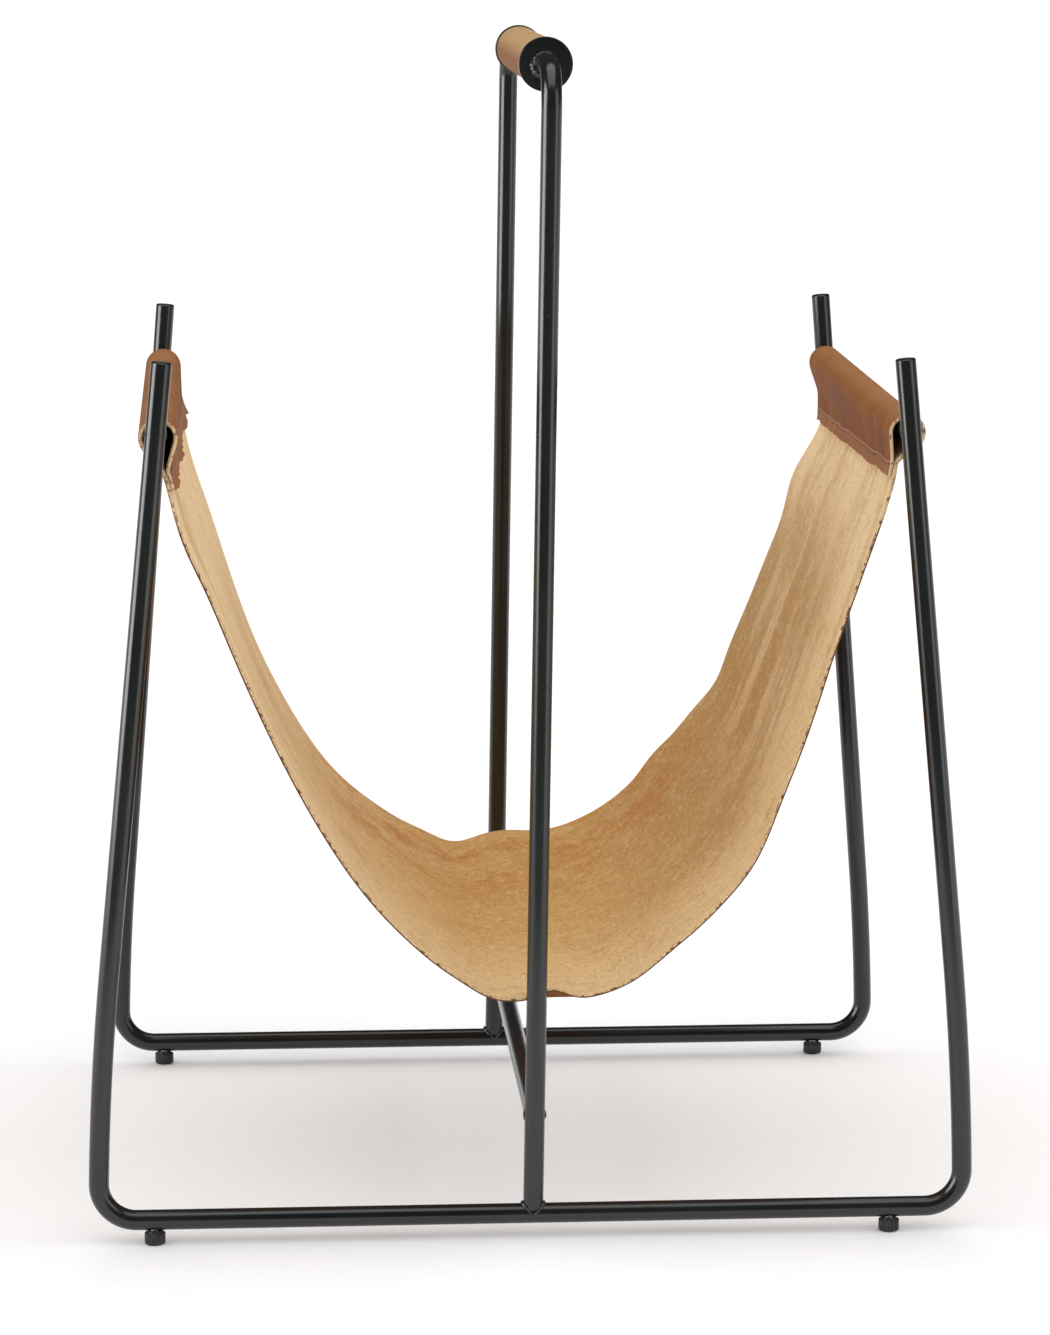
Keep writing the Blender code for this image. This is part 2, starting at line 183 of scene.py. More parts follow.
# Studio
CAMERA_PLACE = (-0.1397, -2.1576, 0.6574)
CAMERA_YAW = radians(3.87)
CAMERA_PITCH = radians(10.49)
CAMERA_ROLL = radians(0.15)
CAMERA_LENS = 113.26          # mm
CAMERA_SENSOR = 36.0          # mm
FLOOR_FRONT = -0.75
FLOOR_BACK = 40.0
FLOOR_WIDTH = 24.0
FLOOR_DROP = 0.2 * MM         # keeps the paper just under the feet
LIGHT_AIM = (0.0, 0.0, 0.3)
WORLD_STRENGTH = 1.15
# What reflections see of the surroundings: axis, where it is dim, where it is bright, and how dim
REFLECTED = (("Y", -0.15, 0.55, 0.20), ("X", -0.9, -0.1, 0.35), ("Z", 0.10, -0.02, 0.05))


# -------- mesh helpers

def link(name, data):
    """A new object in the scene, for a mesh, a light or a camera."""
    obj = bpy.data.objects.new(name, data)
    bpy.context.scene.collection.objects.link(obj)
    return obj


def shade(mesh, sharp):
    """Smooth shading, but for edges sharper than an angle in degrees."""
    mesh.shade_smooth()
    mesh.set_sharp_from_angle(angle=radians(sharp))


def add_object(name, bm, *mats, sharp=SHARP):
    """A new object from a bmesh, with its faces turned outwards."""
    bmesh.ops.recalc_face_normals(bm, faces=bm.faces)
    mesh = bpy.data.meshes.new(name)
    bm.to_mesh(mesh)
    bm.free()
    shade(mesh, sharp)
    for mat in mats:
        mesh.materials.append(mat)
    return link(name, mesh)


def skin(bm, loops, closed=False):
    """Faces between loops of points; the last loop meets the first one, or both are capped."""
    rings = [[bm.verts.new(p) for p in loop] for loop in loops]
    pairs = list(zip(rings, rings[1:]))
    if closed:
        pairs.append((rings[-1], rings[0]))
    for a, b in pairs:
        for i in range(len(a)):
            j = (i + 1) % len(a)
            bm.faces.new((a[i], a[j], b[j], b[i]))
    if not closed:
        bm.faces.new(rings[0])
        bm.faces.new(rings[-1])


def skinned(name, loops, *mats, closed=False, sharp=SHARP):
    """A new object whose surface runs through loops of points."""
    bm = bmesh.new()
    skin(bm, loops, closed)
    return add_object(name, bm, *mats, sharp=sharp)


def store(mesh, name, values):
    """Stores a number on each vertex, for the materials to read."""
    layer = mesh.attributes.new(name, "FLOAT", "POINT")
    layer.data.foreach_set("value", values.astype(np.float32))


def tangents(path, closed=False):
    """Unit directions along a path, at each of its points."""
    ahead = np.roll(path, -1, axis=0) - path
    behind = path - np.roll(path, 1, axis=0)
    if not closed:
        ahead[-1] = behind[-1]
        behind[0] = ahead[0]
    ahead /= np.linalg.norm(ahead, axis=1)[:, None]
    behind /= np.linalg.norm(behind, axis=1)[:, None]
    both = ahead + behind
    return both / np.linalg.norm(both, axis=1)[:, None]


def circle(steps):
    """Angles spread evenly round a circle."""
    return np.linspace(0, 2 * pi, steps, endpoint=False)


def wander(x, y, z):
    """A number about 0 that changes smoothly with place and is the same each time."""
    return noise.noise(Vector((x, y, z)))


def tube_loops(path, radii, across, sides=ROD_SIDES, closed=False):
    """Loops round a path that lies in the plane square to across."""
    path = np.array([tuple(p) for p in path])
    across = np.array(across, float)
    side = np.cross(tangents(path, closed), across)
    side /= np.linalg.norm(side, axis=1)[:, None]
    turn = circle(sides)
    radii = np.broadcast_to(radii, len(path))
    return [p + r * (np.outer(np.cos(turn), across) + np.outer(np.sin(turn), s))
            for p, r, s in zip(path, radii, side)]


def arc(centre, start, end, radius, steps, axes):
    """Points of an arc about centre, in the plane of the two axes, without its first point."""
    across, up = (Vector(a) for a in axes)
    turn = [start + (end - start) * i / steps for i in range(1, steps + 1)]
    return [centre + radius * (cos(a) * across + sin(a) * up) for a in turn]


def rounded_tip(last, upward):
    """Points and radii that round off a rod whose flat end is at last."""
    steps = 5
    turn = [pi / 2 * i / steps for i in range(steps + 1)]
    points = [last - upward * TIP_ROUNDING * (1 - sin(a)) for a in turn]
    return points, [ROD_R - TIP_ROUNDING * (1 - cos(a)) for a in turn]


def drilled(obj, holes):
    """Cuts round upright holes of (x, y, bottom, top) and applies the cut."""
    bm = bmesh.new()
    for x, y, bottom, top in holes:
        place = Matrix.Translation((x, y, (bottom + top) / 2))
        bmesh.ops.create_cone(bm, cap_ends=True, segments=32, radius1=FOOT_HOLE_R,
                              radius2=FOOT_HOLE_R, depth=top - bottom, matrix=place)
    tool = add_object("drill", bm)
    cut = obj.modifiers.new("drill", "BOOLEAN")
    cut.operation = "DIFFERENCE"
    cut.object = tool
    bpy.context.view_layer.update()
    graph = bpy.context.evaluated_depsgraph_get()
    mesh = bpy.data.meshes.new_from_object(obj.evaluated_get(graph))
    obj.modifiers.clear()
    obj.data = mesh
    shade(mesh, SHARP)
    bpy.data.objects.remove(tool)


# -------- places from the frame

def between(pair, blend):
    """A value between the pair's; blend is 0 at the front edge and 1 at the back edge."""
    return pair[0] + (pair[1] - pair[0]) * blend


def middle(node):
    """The middle of a CAD node's box."""
    low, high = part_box(node)
    return (low + high) / 2


def radius_of(node):
    """Half of a CAD node's width."""
    low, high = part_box(node)
    return (high.x - low.x) / 2


RAIL_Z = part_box("front_frame")[0].z + ROD_R
LEG_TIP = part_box("front_frame")[1].z
FRAME_Y = middle("back_frame").y
RAIL_STRAIGHT = {side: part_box(side + "_frame")[1].x - ROD_R - CORNER_R for side in SIDES}
GRIP_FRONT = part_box("front_grip_disc")[0].y
GRIP_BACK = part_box("back_grip_disc")[1].y
GRIP_Y = (GRIP_FRONT + GRIP_BACK) / 2
GRIP_HALF = (GRIP_BACK - GRIP_FRONT) / 2
DISC_R = {side: radius_of(side + "_grip_disc") for side in SIDES}
LEATHER_R = radius_of("grip_leather")
HANDLE_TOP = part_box("handle_loop")[1].z - ROD_R - RAIL_Z
SLING_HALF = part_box("sling")[1].y
HANDLE_PLACE = Matrix.Translation((0, 0, RAIL_Z)) @ Matrix.Rotation(HANDLE_LEAN, 4, "Y")
BAR_Z = LEG_TIP - BAR_DROP


# -------- material helpers

class Nodes:
    """Short calls that add nodes to a node tree."""

    def __init__(self, tree):
        self.tree = tree

    def node(self, kind, inputs=None, **settings):
        """A node of a kind; inputs maps its sockets to numbers or to other nodes' sockets."""
        node = self.tree.nodes.new("ShaderNode" + kind)
        for key, value in settings.items():
            setattr(node, key, value)
        for key, value in (inputs or {}).items():
            self.give(node.inputs[key], value)
        return node

    def give(self, socket, value):
        """Gives a socket a value of its own, or links another node's output to it."""
        if isinstance(value, bpy.types.NodeSocket):
            self.tree.links.new(value, socket)
        else:
            socket.default_value = value

    def math(self, operation, first, second=0.0):
        """The result of a Math node."""
        return self.node("Math", {0: first, 1: second}, operation=operation).outputs["Value"]

    def times(self, first, second):
        """The product of two values."""
        return self.math("MULTIPLY", first, second)

    def spread(self, value, low, high, to_low=0.0, to_high=1.0):
        """Maps the range low..high of a value to another range, smoothly and clamped."""
        inputs = {"Value": value, "From Min": low, "From Max": high, "To Min": to_low, "To Max": to_high}
        return self.node("MapRange", inputs, interpolation_type="SMOOTHSTEP").outputs["Result"]


class Shader(Nodes):
    """A new material with a Principled shader, and short calls for its textures and tones."""

    def __init__(self, name):
        self.mat = bpy.data.materials.new(name)
        self.mat.use_nodes = True
        super().__init__(self.mat.node_tree)
        self.out = self.tree.nodes["Principled BSDF"]

    def place(self, stretch=(1, 1, 1)):
        """Object coordinates, stretched along the axes."""
        where = self.node("TexCoord").outputs["Object"]
        return self.node("Mapping", {"Vector": where, "Scale": stretch}).outputs["Vector"]

    def position(self):
        """The object coordinates' x, y and z."""
        where = self.node("SeparateXYZ", {"Vector": self.place()})
        return [where.outputs[axis] for axis in "XYZ"]

    def attribute(self, name):
        """A number stored on the mesh's vertices."""
        return self.node("Attribute", attribute_name=name).outputs["Fac"]

    def noise(self, scale, detail=4.0, roughness=0.5, stretch=(1, 1, 1), distortion=0.0):
        """Cloudy noise from 0 to 1; the scale is in cycles for each metre."""
        inputs = {"Vector": self.place(stretch), "Scale": scale, "Detail": detail,
                  "Roughness": roughness, "Distortion": distortion}
        return self.node("TexNoise", inputs).outputs["Fac"]

    def ramp(self, value, *stops):
        """Maps a value to colours through (place, colour) stops."""
        ramp = self.node("ValToRGB", {"Fac": value})
        elements = ramp.color_ramp.elements
        while len(elements) < len(stops):
            elements.new(0.5)
        for element, (place, colour) in zip(elements, stops):
            element.position = place
            element.color = (*colour, 1.0)
        return ramp.outputs["Color"]

    def mix(self, factor, tone, colour):
        """Mixes a colour into a tone; a Mix node's colours are its sockets 6 and 7."""
        return self.node("Mix", {0: factor, 6: tone, 7: (*colour, 1.0)}, data_type="RGBA").outputs[2]

    def tint(self, tone, value, low, high, amount, colour, where=None):
        """Mixes a colour in: none of it where the value is low, and an amount where it is high."""
        factor = self.spread(value, low, high, 0.0, amount)
        return self.mix(factor if where is None else self.times(factor, where), tone, colour)

    def finish(self, colour, roughness, specular=0.5, metallic=0.0, bumps=()):
        """Sets up the shader and gives the material; a bump is (height, distance in metres, strength)."""
        values = {"Base Color": colour, "Roughness": roughness, "Specular IOR Level": specular,
                  "Metallic": metallic}
        for height, distance, strength in bumps:
            inputs = {"Height": height, "Distance": distance, "Strength": strength}
            if "Normal" in values:
                inputs["Normal"] = values["Normal"]
            values["Normal"] = self.node("Bump", inputs).outputs["Normal"]
        for key, value in values.items():
            self.give(self.out.inputs[key], value)
        return self.mat


# -------- materials

def powder_coat():
    """Black satin coat with a fine orange peel, faint dust and slightly uneven gloss."""
    s = Shader("powder_coat")
    cloud = s.noise(14.0, 3.0)
    speck = s.noise(700.0, 2.0)
    tone = s.ramp(cloud, (0.3, (0.0060, 0.0078, 0.0078)), (0.7, (0.0105, 0.0125, 0.0122)))
    return s.finish(s.tint(tone, speck, 0.70, 0.80, 0.8, (0.040, 0.040, 0.038)),
                    s.spread(cloud, 0.25, 0.75, 0.19, 0.25), specular=0.6,
                    bumps=[(s.noise(420.0, 2.0), 0.00006, 0.25), (s.noise(2600.0, 2.0), 0.00002, 0.3)])


def weld_steel():
    """The same coat over a weld bead, thinner and a little shinier on its ripples."""
    s = Shader("coated_weld")
    ripple = s.noise(700.0, 3.0)
    tone = s.ramp(ripple, (0.35, (0.010, 0.011, 0.011)), (0.75, (0.060, 0.060, 0.060)))
    return s.finish(tone, s.spread(ripple, 0.3, 0.7, 0.14, 0.28), bumps=[(ripple, 0.0003, 0.6)])


def suede():
    """The sling's inner side: short nap, cloudy tone, broad soft streaks and dark specks, with painted
    light and shade.
    """
    s = Shader("sling_suede")
    across, along, height = s.position()
    cloud = s.noise(13.0, 6.0, 0.65)
    streak = s.noise(7.0, 2.0, 0.5, stretch=(1.0, 4.5, 0.45))
    smudge = s.noise(26.0, 6.0, 0.72)
    mottle = s.noise(170.0, 4.0, 0.6)
    nap = s.noise(620.0, 3.0, 0.65)
    speck = s.noise(380.0, 2.0, 0.55)
    # painted light: the suede grows paler towards the top of the walls, as if lit from above
    tone = s.ramp(height, (0.12, (0.560, 0.338, 0.122)), (0.24, (0.570, 0.360, 0.150)),
                  (0.40, (0.880, 0.685, 0.430)))
    # painted light: paler towards the front edge, as if lit from the front
    tone = s.tint(tone, along, -0.02, -0.15, 0.60, (0.755, 0.565, 0.325))
    # painted light: the left wall paler, as if lit from the right
    tone = s.tint(tone, across, -0.04, -0.10, 0.35, (0.770, 0.600, 0.370))
    # painted shade on the right wall's middle, fading out towards the front and the top
    right = s.times(s.spread(across, 0.03, 0.12, 0.0, 0.75), s.spread(along, -0.14, -0.05))
    right = s.times(right, s.spread(height, 0.37, 0.29))
    tone = s.mix(right, tone, (0.370, 0.210, 0.073))
    tone = s.tint(tone, cloud, 0.47, 0.68, 0.30, (0.700, 0.475, 0.245))
    tone = s.tint(tone, cloud, 0.46, 0.30, 0.35, (0.460, 0.245, 0.082))
    upright = s.spread(height, 0.17, 0.26)
    tone = s.tint(tone, streak, 0.50, 0.68, 0.55, (0.790, 0.580, 0.350), upright)
    tone = s.tint(tone, streak, 0.46, 0.30, 0.38, (0.440, 0.235, 0.085), upright)
    # darker orange patches, low at the back of the sag
    deep = s.times(s.spread(along, -0.02, 0.10), s.spread(height, 0.24, 0.15))
    low_back_darkening = s.times(s.spread(smudge, 0.40, 0.60, 0.12, 0.85), deep)
    tone = s.mix(low_back_darkening, tone, (0.440, 0.190, 0.045))
    tone = s.tint(tone, smudge, 0.42, 0.30, 0.30, (0.400, 0.205, 0.075))
    tone = s.tint(tone, mottle, 0.50, 0.32, 0.22, (0.380, 0.190, 0.066))
    tone = s.tint(tone, mottle, 0.52, 0.68, 0.20, (0.830, 0.620, 0.400))
    tone = s.tint(tone, nap, 0.52, 0.70, 0.34, (0.880, 0.680, 0.450))
    tone = s.tint(tone, nap, 0.48, 0.32, 0.30, (0.310, 0.150, 0.050))
    tone = s.tint(tone, speck, 0.63, 0.70, 0.45, (0.230, 0.105, 0.035))
    return s.finish(tone, s.spread(nap, 0.2, 0.8, 0.88, 0.98), specular=0.05,
                    bumps=[(mottle, 0.0006, 0.35), (nap, 0.0004, 0.6)])


def grain_leather():
    """The sling's outer side and flaps: waxed brown grain, worn at its folds and at the seams; painted
    highlights on the folds and seams, painted shade in the seams' grooves.

    The attribute run holds the distance to the flap's raw edge, and the other one marks the worn rims and
    the sleeves' tops, which are worn and take a painted highlight.
    """
    s = Shader("sling_grain")
    cloud = s.noise(20.0, 6.0, 0.6)
    crease = s.noise(55.0, 6.0, 0.65, stretch=(1.0, 1.0, 0.18), distortion=0.15)
    pores = s.node("TexVoronoi", {"Vector": s.place(), "Scale": 1100.0}).outputs["Distance"]
    fine = s.noise(1300.0, 4.0, 0.6)
    stray = s.times(s.math("SUBTRACT", s.noise(90.0, 3.0), 0.5), 1.6 * MM)
    run = s.math("ADD", s.attribute("run"), stray)
    height = s.position()[2]
    tone = s.ramp(cloud, (0.28, (0.180, 0.052, 0.010)), (0.52, (0.230, 0.074, 0.016)),
                  (0.75, (0.300, 0.110, 0.028)))
    # the sleeves' tops over the bars paler: fold wear, and a painted highlight
    tone = s.tint(tone, height, 0.393, 0.412, 0.55, (0.370, 0.168, 0.060))
    tone = s.tint(tone, crease, 0.54, 0.70, 0.45, (0.370, 0.150, 0.045))
    tone = s.tint(tone, crease, 0.46, 0.30, 0.55, (0.120, 0.038, 0.010))
    tone = s.mix(s.spread(pores, 0.0, 0.30, 0.30, 0.0), tone, (0.115, 0.042, 0.015))
    # worn rims, and the sleeves' tops with fold wear and a painted highlight
    rubbed_and_highlight = s.times(s.attribute("wear_and_highlight"), s.spread(fine, 0.3, 0.7, 0.5, 1.0))
    tone = s.mix(rubbed_and_highlight, tone, (0.420, 0.230, 0.118))
    tone = s.tint(tone, run, SEAM, SEAM - 1.2 * MM, 0.45, (0.380, 0.175, 0.078))
    seam = s.spread(s.math("ABSOLUTE", s.math("SUBTRACT", run, SEAM)), 0.0, 0.7 * MM, 1.0, 0.0)
    # painted highlight along the seam's upper side
    above = s.math("ABSOLUTE", s.math("SUBTRACT", run, SEAM + 0.8 * MM))
    seam_painted_highlight = s.spread(above, 0.0, 0.6 * MM, 0.7, 0.0)
    tone = s.mix(seam_painted_highlight, tone, (0.560, 0.330, 0.190))
    # painted shade: a dark line in the seam's groove
    tone = s.mix(s.times(seam, 0.8), tone, (0.085, 0.030, 0.012))
    groove = s.times(seam, -1.0)
    return s.finish(tone, s.spread(cloud, 0.2, 0.8, 0.55, 0.68), specular=0.03,
                    bumps=[(groove, 0.0005, 0.9), (crease, 0.0005, 0.30), (pores, 0.00012, 0.4),
                           (fine, 0.00006, 0.5)])


def cut_edge():
    """Raw cut leather: pale fibres in thin layers, darker towards both faces.

    The attribute depth runs from -1 on the suede face to 1 on the grain face.
    """
    s = Shader("leather_cut_edge")
    layers = s.noise(800.0, 5.0, 0.7)
    gaps = s.noise(420.0, 3.0, 0.6)
    depth = s.attribute("depth")
    height = s.position()[2]
    tone = s.ramp(layers, (0.30, (0.330, 0.180, 0.078)), (0.50, (0.640, 0.430, 0.230)),
                  (0.70, (0.850, 0.660, 0.430)))
    mouth = s.spread(height, 0.350, 0.365)
    tone = s.mix(s.times(mouth, 0.45), tone, (0.820, 0.590, 0.350))
    tone = s.tint(tone, gaps, 0.50, 0.62, 0.85, (0.120, 0.052, 0.018))
    below = s.math("SUBTRACT", 1.0, mouth)
    tone = s.tint(tone, depth, 0.00, 0.50, 0.97, (0.080, 0.030, 0.011), below)
    tone = s.tint(tone, depth, -0.70, -0.98, 0.6, (0.250, 0.120, 0.045))
    return s.finish(tone, s.spread(layers, 0.2, 0.8, 0.84, 0.97), specular=0.08,
                    bumps=[(layers, 0.0006, 0.9), (gaps, 0.0006, 0.6)])


def grip_cover():
    """The grip's smooth leather, mottled, with a fine grain and painted shade below its top."""
    s = Shader("grip_leather")
    cloud = s.noise(34.0, 5.0, 0.6)
    pores = s.node("TexVoronoi", {"Vector": s.place(), "Scale": 1000.0}).outputs["Distance"]
    crease = s.noise(60.0, 5.0, 0.6, stretch=(1.0, 0.3, 1.0), distortion=0.6)
    tone = s.ramp(cloud, (0.28, (0.430, 0.245, 0.110)), (0.52, (0.500, 0.310, 0.150)),
                  (0.75, (0.560, 0.370, 0.200)))
    tone = s.tint(tone, crease, 0.50, 0.75, 0.30, (0.480, 0.275, 0.130))
    tone = s.mix(s.spread(pores, 0.0, 0.26, 0.25, 0.0), tone, (0.180, 0.080, 0.032))
    height = s.position()[2]
    top = RAIL_Z + HANDLE_TOP
    # painted shade: darker all round but along the grip's top, as if lit from above
    painted_underside_shade = s.spread(height, top + 9 * MM, top - 2 * MM)
    tone = s.mix(painted_underside_shade, tone, (0.255, 0.092, 0.022))
    return s.finish(tone, s.spread(cloud, 0.2, 0.8, 0.46, 0.60), specular=0.03,
                    bumps=[(crease, 0.0003, 0.3), (pores, 0.0001, 0.4)])


def waxed_thread():
    """Two-ply waxed thread."""
    s = Shader("waxed_thread")
    inputs = {"Vector": s.place((1, 1, 1.4)), "Scale": 420.0, "Distortion": 1.5, "Detail": 2.0}
    ply = s.node("TexWave", inputs, bands_direction="Y").outputs["Fac"]
    return s.finish(s.ramp(ply, (0.1, (0.190, 0.092, 0.040)), (0.9, (0.400, 0.235, 0.125))),
                    s.spread(ply, 0.0, 1.0, 0.72, 0.5), bumps=[(ply, 0.00015, 0.7)])


def core_wood():
    """Turned beech: straight fibres along the grip, and short darker flecks."""
    s = Shader("core_wood")
    fibres = s.noise(90.0, 5.0, 0.6, stretch=(1.0, 0.08, 1.0))
    flecks = s.noise(420.0, 2.0, 0.5, stretch=(1.0, 0.15, 1.0))
    tone = s.ramp(fibres, (0.3, (0.45, 0.29, 0.16)), (0.7, (0.63, 0.45, 0.28)))
    return s.finish(s.tint(tone, flecks, 0.62, 0.72, 0.6, (0.30, 0.17, 0.08)),
                    s.spread(fibres, 0.2, 0.8, 0.55, 0.75), bumps=[(fibres, 0.0002, 0.5)])


def foot_plastic():
    """Black moulded plastic with scuffed high spots."""
    s = Shader("foot_plastic")
    cloud = s.noise(120.0, 4.0)
    scuff = s.noise(520.0, 5.0, 0.7, stretch=(1.0, 1.0, 0.4))
    tone = s.ramp(cloud, (0.3, (0.010, 0.010, 0.010)), (0.7, (0.022, 0.022, 0.021)))
    return s.finish(s.tint(tone, scuff, 0.58, 0.75, 0.5, (0.075, 0.074, 0.070)),
                    s.spread(scuff, 0.3, 0.7, 0.38, 0.62), bumps=[(scuff, 0.00012, 0.5)])


def zinc():
    """Bright zinc plate with a faint yellow cast and dull patches."""
    s = Shader("stud_zinc")
    cloud = s.noise(260.0, 4.0)
    return s.finish(s.ramp(cloud, (0.3, (0.46, 0.46, 0.43)), (0.7, (0.66, 0.66, 0.62))),
                    s.spread(cloud, 0.3, 0.7, 0.24, 0.42), metallic=1.0,
                    bumps=[(s.noise(1800.0, 2.0), 0.00004, 0.5)])


def floor_paper():
    """White studio paper with the faintest tooth."""
    s = Shader("studio_paper")
    tooth = s.noise(60.0, 3.0)
    return s.finish(s.ramp(tooth, (0.3, (0.960, 0.960, 0.960)), (0.7, (0.975, 0.975, 0.975))), 0.95,
                    specular=0.1)


# -------- steel frame

def leg_path(side, hand):
    """From the middle of a rail to a leg's tip, with the rod's radius at each point."""
    straight, lean = RAIL_STRAIGHT[side], LEAN_HIGH[side]
    top = LEG_TIP - (SHORT_LEG_CUT if (side, hand) == SHORT_LEG else 0)
    centre = Vector((straight, 0, RAIL_Z + CORNER_R))
    axes = ((1, 0, 0), (0, 0, 1))
    path = [Vector((share * straight, 0, RAIL_Z)) for share in (0.0, 0.5, 1.0)]
    path += arc(centre, -pi / 2, LEAN_LOW, CORNER_R, BEND_STEPS, axes)
    bow = path[-1] - BOW_R * Vector((cos(LEAN_LOW), 0, sin(LEAN_LOW)))
    path += arc(bow, LEAN_LOW, lean, BOW_R, BOW_STEPS, axes)
    upward = Vector((-sin(lean), 0, cos(lean)))
    tip = path[-1] + upward * (top - path[-1].z) / upward.z
    points, tip_radii = rounded_tip(tip, upward)
    radii = [ROD_R] * len(path) + tip_radii
    return [Vector((HANDS[hand] * p.x, SIDES[side] * FRAME_Y, p.z)) for p in path + points], radii


def bar_x(side):
    """x of a side frame's right leg where the cross bar meets it."""
    path, _ = leg_path(side, "right")
    return path[-1].x + tan(LEAN_HIGH[side]) * BAR_DROP


BAR_X = (bar_x("front"), bar_x("back"))


def side_frame(side, mat):
    """One bent rod: the rail and its two legs, with a tapped hole for each foot."""
    left, left_radii = leg_path(side, "left")
    right, right_radii = leg_path(side, "right")
    loops = tube_loops(left[::-1] + right[1:], left_radii[::-1] + right_radii[1:], (0, 1, 0))
    rod = skinned(side + "_frame_rod", loops, mat)
    feet = [middle(f"{side}_{hand}_stud") for hand in HANDS]
    drilled(rod, [(f.x, f.y, 0, FOOT_HOLE_TOP) for f in feet])
    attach(rod, "body")
    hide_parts(side + "_frame")


def coped_rod(name, node, front, back, mat, place=Matrix()):
    """A straight rod from (x, z) at the front to (x, z) at the back, coped round upright rods."""
    turn = circle(ROD_SIDES)
    reach = FRAME_Y - np.sqrt(np.maximum((ROD_R + COPE_GAP) ** 2 - (ROD_R * np.cos(turn)) ** 2, 0))
    loops = []
    for share in (-1.0, -0.5, 0.0, 0.5, 1.0):
        x = between((front[0], back[0]), (1 + share) / 2)
        z = between((front[1], back[1]), (1 + share) / 2)
        loops.append([place @ Vector((x + ROD_R * cos(a), share * r, z + ROD_R * sin(a)))
                      for a, r in zip(turn, reach)])
    rod = skinned(name, loops, mat)
    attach(rod, "body")
    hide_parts(node)


def handle_loop(mat):
    """Up from the front rail, over the grip and down to the back rail, as one bent rod."""
    axes = ((0, 1, 0), (0, 0, 1))
    bend_y, bend_z = FRAME_Y - HANDLE_BEND_R, HANDLE_TOP - HANDLE_BEND_R
    path = [Vector((0, -FRAME_Y, z)) for z in (HANDLE_FOOT, ROD_R + BEAD_R, bend_z / 2, bend_z)]
    path += arc(Vector((0, -bend_y, bend_z)), pi, pi / 2, HANDLE_BEND_R, BEND_STEPS, axes)
    path += [Vector((0, y, HANDLE_TOP)) for y in (0.0, bend_y)]
    path += arc(Vector((0, bend_y, bend_z)), pi / 2, 0, HANDLE_BEND_R, BEND_STEPS, axes)
    path += [Vector((0, FRAME_Y, z)) for z in (bend_z / 2, ROD_R + BEAD_R, HANDLE_FOOT)]
    across = HANDLE_PLACE.to_3x3() @ Vector((1, 0, 0))
    rod = skinned("handle_rod", tube_loops([HANDLE_PLACE @ p for p in path], ROD_R, across), mat)
    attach(rod, "body")
    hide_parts("handle_loop")


def weld_ring(name, loop, radii, mat):
    """A closed rippled bead along a loop of points."""
    points = np.array([tuple(p) for p in loop])
    along = tangents(points, closed=True)
    out = points - points.mean(axis=0)
    out -= along * np.sum(out * along, axis=1)[:, None]
    out /= np.linalg.norm(out, axis=1)[:, None]
    third = np.cross(along, out)
    turn = circle(BEAD_SIDES)
    loops = [p + r * (np.outer(np.cos(turn), o) + np.outer(np.sin(turn), t))
             for p, r, o, t in zip(points, radii, out, third)]
    bead = skinned(name, loops, mat, closed=True)
    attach(bead, "body")


def joint_weld(name, mat, centre, branch, main, place=Matrix(), size=1.0):
    """The bead where a rod along branch meets the side of a rod along main."""
    branch, main = Vector(branch), Vector(main)
    third = branch.cross(main)
    turn = circle(BEAD_STEPS)
    reach = ROD_R + 0.25 * BEAD_R
    loop = [place @ (centre + reach * (cos(a) * main + sin(a) * third + abs(cos(a)) * branch))
            for a in turn]
    ripple = [wander(3 * cos(a), 3 * sin(a), centre.y * 50) for a in turn]
    radii = [size * BEAD_R * (0.5 + 0.5 * cos(a) ** 2 + 0.10 * sin(BEAD_RIPPLES * a) + 0.2 * r)
             for a, r in zip(turn, ripple)]
    weld_ring(name, loop, radii, mat)


def welds(mat):
    """Beads at the posts' feet, the stretcher's ends and the cross bars' ends, and spatter."""
    for side, sign in SIDES.items():
        inward = (0, -sign, 0)
        end = Vector((0, sign * FRAME_Y, RAIL_Z))
        joint_weld(side + "_post_weld", mat, end, (0, 0, 1), (1, 0, 0))
        end = Vector((0, sign * FRAME_Y, STRETCHER_HEIGHT))
        joint_weld(side + "_stretcher_weld", mat, end, inward, (0, 0, 1), HANDLE_PLACE)
        for hand, x in HANDS.items():
            end = Vector((x * between(BAR_X, (sign + 1) / 2), sign * FRAME_Y, BAR_Z))
            joint_weld(f"{side}_{hand}_bar_weld", mat, end, inward, (0, 0, 1), size=BAR_BEAD_SHARE)
    spatter(mat)


def spatter(mat):
    """Three small drops of weld on the front post, round the stretcher's joint."""
    bm = bmesh.new()
    for angle, height in SPATTER:
        spot = Vector((ROD_R * sin(angle), -FRAME_Y - ROD_R * cos(angle), STRETCHER_HEIGHT + height))
        bmesh.ops.create_icosphere(bm, subdivisions=2, radius=SPATTER_R,
                                   matrix=Matrix.Translation(HANDLE_PLACE @ spot))
    drops = add_object("weld_spatter", bm, mat)
    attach(drops, "body")


# -------- grip

def ring_loops(profile, sides, centre, shape=None):
    """Loops round the grip's axis, from (radius, distance along it); shape changes a radius."""
    turn = circle(sides)
    loops = []
    for radius, y in profile:
        radii = [shape(radius, a, y) if shape else radius for a in turn]
        loops.append([HANDLE_PLACE @ (centre + Vector((r * cos(a), y, r * sin(a))))
                      for a, r in zip(turn, radii)])
    return loops


def disc_weld(side, centre, mat):
    """A thick uneven bead between a disc's outer face and the rod, thickest at the left."""
    sign = SIDES[side]
    reach = ROD_R + DISC_BEAD_OUT
    loop, radii = [], []
    for a in circle(DISC_BEAD_STEPS):
        lump = wander(2.5 * cos(a), 2.5 * sin(a), sign * 3)
        left = max(0.0, -cos(a - 0.5)) ** 2
        loop.append(HANDLE_PLACE @ (centre + Vector((reach * cos(a), sign * GRIP_HALF, reach * sin(a)))))
        radii.append(DISC_BEAD_R * (0.45 + 1.0 * left + 0.03 * sin(BEAD_RIPPLES * a) + 0.25 * lump))
    weld_ring(side + "_disc_weld", loop, radii, mat)


